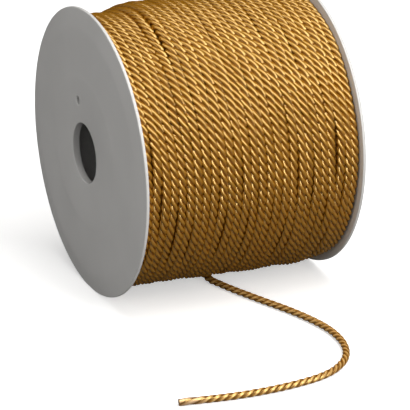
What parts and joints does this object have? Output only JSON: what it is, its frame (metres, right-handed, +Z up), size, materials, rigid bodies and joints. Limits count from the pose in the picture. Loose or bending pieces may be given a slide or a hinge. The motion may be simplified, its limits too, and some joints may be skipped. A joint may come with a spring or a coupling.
{
  "type": "satin cord on a spool",
  "caption": "Twisted satin cord wound in layers on a plain flanged spool with a hollow barrel and a spindle bore; the cord's cut end lies loose in front of it.",
  "frame": {"origin": "on the floor under the middle of the spool, midway between its flanges and below its axis", "axes": "+X along the spool's axis towards the right flange, +Z up, and -Y towards the side where the loose end lies"},
  "size_m": [0.102, 0.1698, 0.1097],
  "materials": {
    "spool_plastic": "smooth off-white moulded plastic, slightly satin",
    "satin_cord": "glossy gold satin yarn, twisted in strands"
  },
  "bodies": {
    "root": {"flange_left": "spool_plastic", "flange_right": "spool_plastic", "barrel": "spool_plastic", "winding": "satin_cord", "loose_end": "satin_cord"}
  },
  "joints": []
}
